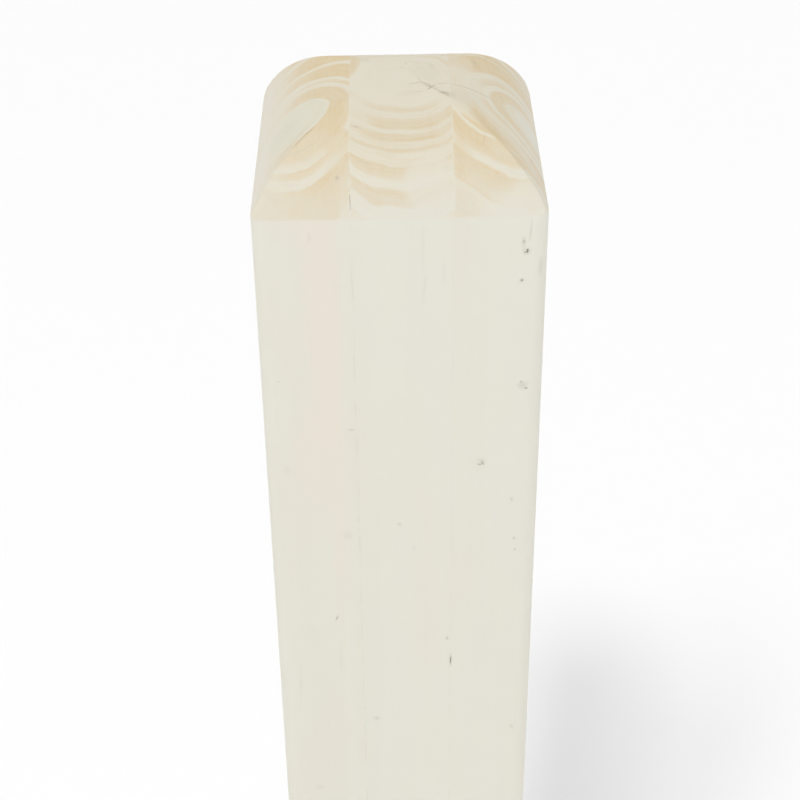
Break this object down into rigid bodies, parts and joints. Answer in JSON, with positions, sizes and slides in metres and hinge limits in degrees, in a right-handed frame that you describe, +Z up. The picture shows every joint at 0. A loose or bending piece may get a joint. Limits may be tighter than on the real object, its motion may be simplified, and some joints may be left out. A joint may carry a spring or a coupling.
{
  "type": "square wooden post",
  "caption": "Upright square post glued up from wooden boards, white glazed, with its head rounded over on all sides and its foot sawn square.",
  "frame": {"origin": "middle of the sawn foot, on the surface the post stands on", "axes": "+Z up the post, -Y out of its front face, +X to the right seen from the front"},
  "size_m": [0.09, 0.09, 1],
  "materials": {
    "left_board": "softwood under a thin white glaze, matt",
    "middle_board": "softwood under a thin white glaze, matt",
    "right_board": "softwood under a thin white glaze, matt"
  },
  "bodies": {
    "root": {"left_board": "left_board", "middle_board": "middle_board", "right_board": "right_board"}
  },
  "joints": []
}
